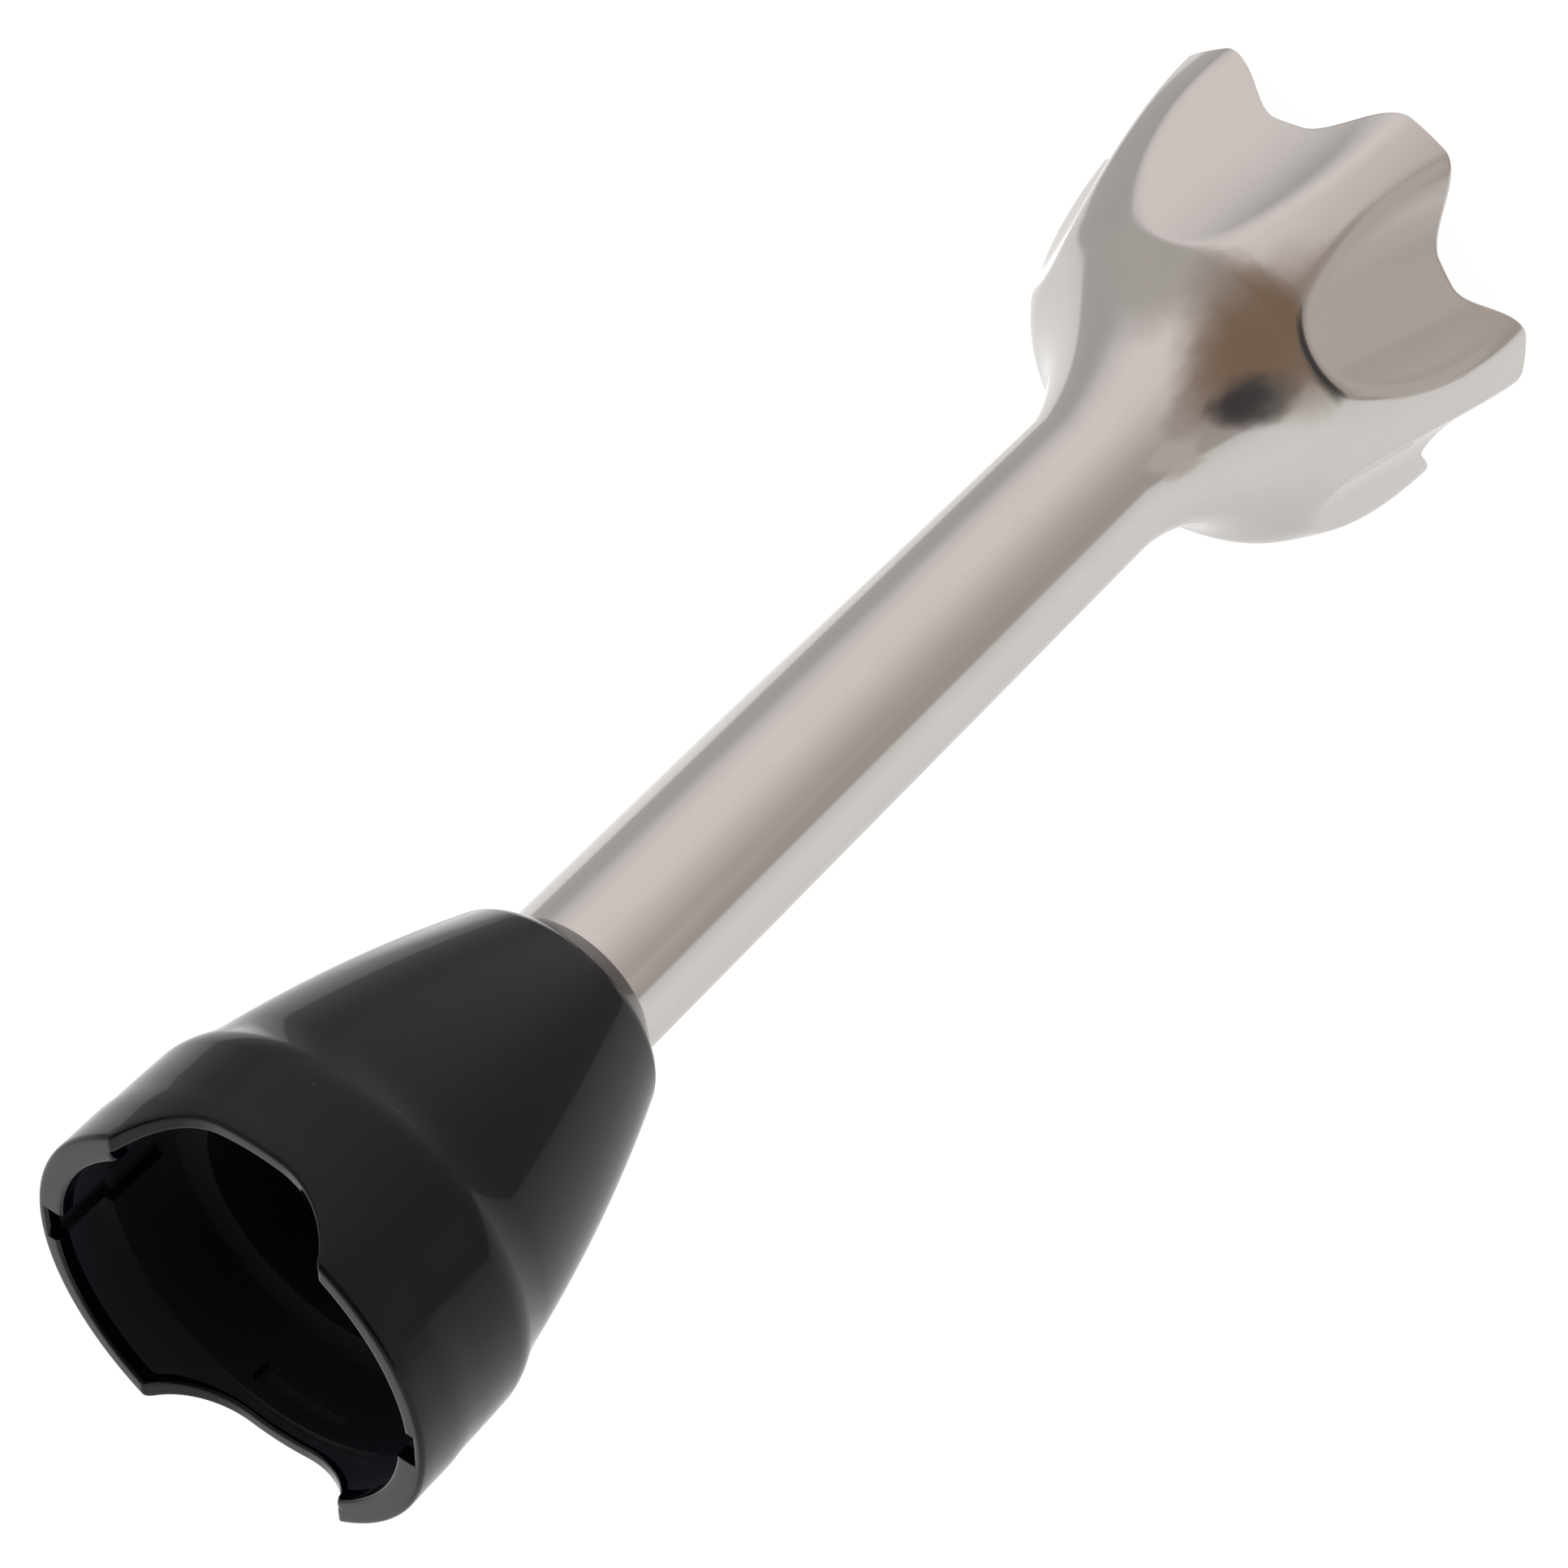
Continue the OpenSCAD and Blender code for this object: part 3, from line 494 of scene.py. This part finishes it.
def inner_r(angle):
    """Radius of the inside of the mouth in one direction."""
    radius = THIN_R
    for middle in PAD_MIDDLES:
        off = abs((angle - middle + 180) % 360 - 180)
        inside = max(0.0, min(1.0, (PAD_HALF - off) / PAD_SOFT + 0.5))
        radius -= (THIN_R - SOCKET_R) * inside * inside * (3 - 2 * inside)
    c, s = abs(math.cos(math.radians(angle))), abs(math.sin(math.radians(angle)))
    keyway = min(KEYWAY_FLOOR / max(c, 0.01), KEYWAY_HALF / max(s, 0.001))
    return max(radius, keyway)


print("cut-out half width at the mouth mm:", round(CUTOUT_HALF_FLAT + cutout_side, 2))

# %% Columns that are closer where the mouth has edges
COLUMN_STEP = 0.5
LEAST_STEP = 0.03
# Where the closer columns start, their step, both in degrees from the edge's direction, and their number
KEYWAY_COLUMNS = (5.4, 0.08, 20)
CORNER_COLUMNS = (28, 0.25, 44)
PAD_END_COLUMNS = (-0.48, 0.06, 17)


def closer_columns(direction_degrees, sign, closer):
    """Angles to one side of a direction."""
    start, step, count = closer
    return {round((direction_degrees + sign * (start + step * i)) % 360, 3) for i in range(count)}


def collar_columns():
    """Angles round the collar, closer at the keyways, the pads' ends and the cut-outs' corners."""
    angles = {round(COLUMN_STEP * i, 3) for i in range(round(360 / COLUMN_STEP))}
    for sign in (-1, 1):
        for keyway in (0, 180):
            angles |= closer_columns(keyway, sign, KEYWAY_COLUMNS)
        for cutout in (90, 270):
            angles |= closer_columns(cutout, sign, CORNER_COLUMNS)
        for middle in PAD_MIDDLES:
            angles |= closer_columns(middle + sign * PAD_HALF, 1, PAD_END_COLUMNS)
    ordered = sorted(angles)
    return [a for i, a in enumerate(ordered) if i == 0 or a - ordered[i - 1] > LEAST_STEP]


columns = collar_columns()
print("collar columns:", len(columns))

# %% Build the collar
OUTER_EDGE_R = 0.6
INNER_EDGE_R = 0.4
PAD_FOOT_Z = LEG_LENGTH - 7.4
KEYWAY_FOOT_Z = LEG_LENGTH - 8.5
BAND_RING_Z = LEG_LENGTH - 8.4
BAND_STEPS = 4
TOP_STEPS = 5
OUTER_EDGE_STEPS = 6
LAND_STEPS = 4
INNER_EDGE_STEPS = 5
WALL_STEPS = 5
HAIR = 0.05  # mm, the small step that keeps two rings apart
# Radius and height of each corner of the hollow, from the latch ring's seat down to the tube
CAVITY = [(THIN_R, 195.2), (21.3, 195.2), (21.3, 190), (18.95, 180.5), (18.95, 177.9), (17.3, 177.9),
          (17.3, 173), (TUBE_R + HAIR, 173), (TUBE_R + HAIR, NOSE_Z)]


def ring_of(radius_of, z_of):
    """A ring whose radius is a function of the angle, and its height of the angle and the radius."""
    ring = []
    for a in columns:
        r = radius_of(a)
        ring.append((r * math.cos(math.radians(a)), r * math.sin(math.radians(a)), z_of(a, r)))
    return ring


def top_z(angle, radius):
    """Height of the mouth's edge over a point of the wall."""
    return mouth_z(radius * math.cos(math.radians(angle)))


def outer_edge(angle):
    """Where the outer wall meets the mouth's fillet."""
    return wall_r(top_z(angle, MOUTH_R) - OUTER_EDGE_R)


collar_rings = [round_ring(nose_r, NOSE_Z, columns)]
collar_rings += [round_ring(r, z, columns) for r, z in reversed(outline)]
for k in range(1, BAND_STEPS + 1):
    z = BAND_FOOT_Z + (BAND_RING_Z - BAND_FOOT_Z) * k / BAND_STEPS
    collar_rings.append(round_ring(wall_r(z), z, columns))
for k in range(1, TOP_STEPS + 1):
    part = k / TOP_STEPS
    collar_rings.append(ring_of(outer_edge, lambda a, r: BAND_RING_Z
                                + (top_z(a, r) - OUTER_EDGE_R - BAND_RING_Z) * part))
for k in range(1, OUTER_EDGE_STEPS + 1):
    turn = math.pi / 2 * k / OUTER_EDGE_STEPS
    collar_rings.append(ring_of(lambda a: outer_edge(a) - OUTER_EDGE_R * (1 - math.cos(turn)),
                                lambda a, r: top_z(a, r) - OUTER_EDGE_R * (1 - math.sin(turn))))
for k in range(1, LAND_STEPS):
    part = k / LAND_STEPS
    collar_rings.append(ring_of(lambda a: (outer_edge(a) - OUTER_EDGE_R) * (1 - part)
                                + (inner_r(a) + INNER_EDGE_R) * part, top_z))
for k in range(INNER_EDGE_STEPS + 1):
    turn = math.pi / 2 * (1 - k / INNER_EDGE_STEPS)
    collar_rings.append(ring_of(lambda a: inner_r(a) + INNER_EDGE_R * (1 - math.cos(turn)),
                                lambda a, r: top_z(a, r) - INNER_EDGE_R * (1 - math.sin(turn))))
cavity_ring = len(collar_rings)
for k in range(1, WALL_STEPS + 1):
    part = k / WALL_STEPS
    collar_rings.append(ring_of(inner_r, lambda a, r: (top_z(a, r) - INNER_EDGE_R) * (1 - part)
                                + PAD_FOOT_Z * part))
collar_rings.append(ring_of(lambda a: max(THIN_R, inner_r(a)), lambda a, r: PAD_FOOT_Z - HAIR))
collar_rings.append(ring_of(lambda a: max(THIN_R, inner_r(a)), lambda a, r: KEYWAY_FOOT_Z))
collar_rings.append(round_ring(THIN_R, KEYWAY_FOOT_Z - 2 * HAIR, columns))
collar_rings += [round_ring(r, z, columns) for r, z in CAVITY]
glossy_collar = shell_from_rings("glossy_collar", collar_rings, sharp_degrees=35)
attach(polished_skin, "leg")
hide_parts("steel_tube", "bell_guard")
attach(glossy_collar, "leg")
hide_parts("coupling_sleeve")

# %% [markdown]
# ## Mirror-polished stainless steel
#
# The tube and bell are 304 stainless steel that was ground with belts and then buffed. What stays is a
# mirror with a slight blur, and very fine lines that run round the piece. Steel is a metal, so its colour
# is the colour of its mirror image, a warm grey. The buffing lines are under 0.1 mm apart on the real one.
# They are drawn at 0.35 mm, as coarse as they need to be to show at all.

# %% Polished steel
def object_coordinates(tree, stretch):
    """The piece's own coordinates in millimetres, squeezed by a factor for each axis."""
    place = add_node(tree, "ShaderNodeTexCoord").outputs["Object"]
    scaled = add_node(tree, "ShaderNodeVectorMath", {0: place, 1: [s / MM for s in stretch]},
                      operation="MULTIPLY")
    return scaled.outputs[0]


# Sizes in millimetres
LINE_SPACING = 0.35
LINE_LENGTH = 20
CLOUD_SIZE = 14
STEEL_ROUGHNESS = (0.075, 0.12)
polished_steel, tree = blank_material("polished_stainless_steel_metal_buffed")
round_the_piece = object_coordinates(tree, (1 / LINE_LENGTH, 1 / LINE_LENGTH, 1 / LINE_SPACING))
lines = add_node(tree, "ShaderNodeTexNoise", {"Vector": round_the_piece, "Scale": 1.0, "Detail": 3.0,
                                              "Roughness": 0.6})
clouds = add_node(tree, "ShaderNodeTexNoise", {"Vector": object_coordinates(tree, [1 / CLOUD_SIZE] * 3),
                                               "Scale": 1.0, "Detail": 2.0})
wear = add_node(tree, "ShaderNodeMath", {0: lines.outputs[0], 1: clouds.outputs[0]}, operation="MULTIPLY")
blur = add_node(tree, "ShaderNodeMapRange", {"Value": wear.outputs[0], "From Min": 0.1, "From Max": 0.45,
                                             "To Min": STEEL_ROUGHNESS[0], "To Max": STEEL_ROUGHNESS[1]})
tone = add_node(tree, "ShaderNodeMix", {0: clouds.outputs[0], 6: linear("#cdc8c4"), 7: linear("#c9c4bf")},
                data_type="RGBA")
RELIEF = 0.02 * MM
grain = add_node(tree, "ShaderNodeBump", {"Height": lines.outputs[0], "Strength": 0.04, "Distance": RELIEF})
finish_material(tree, {"Base Color": tone.outputs[2], "Metallic": 1.0, "Roughness": blur.outputs[0],
                       "Normal": grain.outputs[0]})
polished_skin.data.materials.append(polished_steel)
print("steel roughness:", STEEL_ROUGHNESS)

# %% [markdown]
# ## Deep-gloss black ABS
#
# ABS that is moulded against a mirror-polished tool has a skin like lacquer. Black pigment swallows almost
# all light that goes in, so the eye sees only the clear reflection at the surface, faint when looked at
# straight on and strong at the edges. A few grains of dust and a very slight waviness keep it from looking
# like glass.

# %% Black ABS
# Sizes in millimetres
WAVE_SIZE = 9
SPECK_SPACING = 5
SINK_DEPTH = 0.05 * MM
gloss_abs, tree = blank_material("gloss_black_abs_plastic_moulded")
waves = add_node(tree, "ShaderNodeTexNoise", {"Vector": object_coordinates(tree, [1 / WAVE_SIZE] * 3),
                                              "Scale": 1.0, "Detail": 1.0})
specks = add_node(tree, "ShaderNodeTexVoronoi",
                  {"Vector": object_coordinates(tree, [1 / SPECK_SPACING] * 3), "Scale": 1.0})
dust = add_node(tree, "ShaderNodeMapRange", {"Value": specks.outputs["Distance"], "From Min": 0.02,
                                             "From Max": 0.014, "To Min": 0.0, "To Max": 1.0})
pigment = add_node(tree, "ShaderNodeMix", {0: dust.outputs[0], 6: linear("#05070f"), 7: linear("#4a4a4c")},
                   data_type="RGBA")
smooth = add_node(tree, "ShaderNodeMapRange", {"Value": waves.outputs[0], "To Min": 0.012, "To Max": 0.035})
sink = add_node(tree, "ShaderNodeBump",
                {"Height": waves.outputs[0], "Strength": 0.05, "Distance": SINK_DEPTH})
finish_material(tree, {"Base Color": pigment.outputs[2], "Roughness": smooth.outputs[0], "IOR": 1.5,
                       "Specular IOR Level": 0.24, "Normal": sink.outputs[0]})
glossy_collar.data.materials.append(gloss_abs)
print("dust specks about", SPECK_SPACING, "mm apart")

# %% [markdown]
# ## Satin black ABS inside the collar
#
# A glossy inside would mirror the bright mouth, while the inside of such a collar looks an even soft black.
# A core that isn't polished gives the moulding that satin: its fine sparkle scatters the light. The sparkle
# is drawn at a third of a millimetre, coarser than the real one, so that it shows. The satin should start
# at the mouth's inner edge. As built it starts one strip of faces lower, so a line of gloss up to 1.4 mm
# high is left above it.

# %% Satin inside
SPARKLE = 1 / 3
satin_abs, tree = blank_material("satin_black_abs_plastic_moulded")
spark = add_node(tree, "ShaderNodeTexNoise", {"Vector": object_coordinates(tree, [1 / SPARKLE] * 3),
                                              "Scale": 1.0, "Detail": 2.0})
dull = add_node(tree, "ShaderNodeMapRange", {"Value": spark.outputs[0], "To Min": 0.3, "To Max": 0.45})
frost = add_node(tree, "ShaderNodeBump", {"Height": spark.outputs[0], "Strength": 0.1, "Distance": RELIEF})
finish_material(tree, {"Base Color": linear("#2b2d35"), "Roughness": dull.outputs[0], "IOR": 1.54,
                       "Specular IOR Level": 0.25, "Normal": frost.outputs[0]})
glossy_collar.data.materials.append(satin_abs)
for face in glossy_collar.data.polygons:
    if face.index // len(columns) >= cavity_ring:
        face.material_index = 1
print("satin faces:", sum(face.material_index for face in glossy_collar.data.polygons))

# %% [markdown]
# ## Finishes of the pieces inside
#
# The pieces inside the bell and the collar keep the shapes they were packed with, because those are exact.
# They get finishes for what they are: nylon with a fine moulded texture, turned and ground steel, acetal,
# bronze and rubber. Their grains are drawn at 0.15 to 0.5 mm, coarser than the real ones, so that they show.

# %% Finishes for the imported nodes
def simple_finish(name, light_hex, dark_hex, grain_mm, stretch, rough, metallic=0.0, ior=None):
    """A finish with two near tones, a grain of a real size, and roughness that follows the grain."""
    material, tree = blank_material(name)
    place = object_coordinates(tree, [s / grain_mm for s in stretch])
    grain = add_node(tree, "ShaderNodeTexNoise", {"Vector": place, "Scale": 1.0, "Detail": 3.0})
    tone = add_node(tree, "ShaderNodeMix", {0: grain.outputs[0], 6: linear(dark_hex), 7: linear(light_hex)},
                    data_type="RGBA")
    gloss = add_node(tree, "ShaderNodeMapRange", {"Value": grain.outputs[0], "From Min": 0.3, "From Max": 0.7,
                                                  "To Min": rough[0], "To Max": rough[1]})
    relief = add_node(tree, "ShaderNodeBump",
                      {"Height": grain.outputs[0], "Strength": 0.15, "Distance": RELIEF})
    sockets = {"Base Color": tone.outputs[2], "Roughness": gloss.outputs[0], "Metallic": metallic,
               "Normal": relief.outputs[0]}
    if ior:
        sockets["IOR"] = ior
    finish_material(tree, sockets)
    return material


# How the grain is squeezed along each axis: not at all, or drawn out into rings round the drive axis
EVEN = (1, 1, 1)
TURNED = (0.05, 0.05, 1)
FINISHES = {
    "black_nylon": simple_finish("black_nylon_plastic_moulded", "#22242c", "#1b1c23", 0.3, EVEN,
                                 (0.3, 0.45), ior=1.4),
    "coupler_nylon": simple_finish("glass_filled_nylon_plastic_moulded", "#232428", "#141518", 0.25, EVEN,
                                   (0.4, 0.55), ior=1.53),
    "blade_steel": simple_finish("ground_blade_steel_metal", "#d4d2cf", "#b9b7b4", 0.3, (1, 0.06, 1),
                                 (0.16, 0.28), metallic=1.0),
    "machined_steel": simple_finish("turned_steel_metal", "#c6c5c3", "#a9a8a6", 0.25, TURNED,
                                    (0.2, 0.34), metallic=1.0),
    "screw_steel": simple_finish("zinc_plated_steel_metal", "#bfc2c6", "#a5a8ad", 0.4, EVEN,
                                 (0.28, 0.4), metallic=1.0),
    "white_acetal": simple_finish("white_acetal_plastic_machined", "#e9e6df", "#dedad2", 0.5, (0.2, 0.2, 1),
                                  (0.35, 0.45), ior=1.48),
    "bronze": simple_finish("sintered_bronze_metal", "#b98a4c", "#966b36", 0.15, EVEN,
                            (0.35, 0.5), metallic=1.0),
    "seal_rubber": simple_finish("nitrile_rubber_moulded", "#4a342e", "#33231f", 0.4, EVEN,
                                 (0.5, 0.65), ior=1.52),
}
for part in frame["record"]["subparts"]:
    if part["material_slot"] in FINISHES:
        packed = frame["nodes"][part["node"]]
        packed.data.materials.clear()
        packed.data.materials.append(FINISHES[part["material_slot"]])
print("finishes:", len(FINISHES) + 3)

# %% [markdown]
# ## The last update

# The visual model has to stay in the imported model's box.

# %% Update the view layer
bpy.context.view_layer.update()
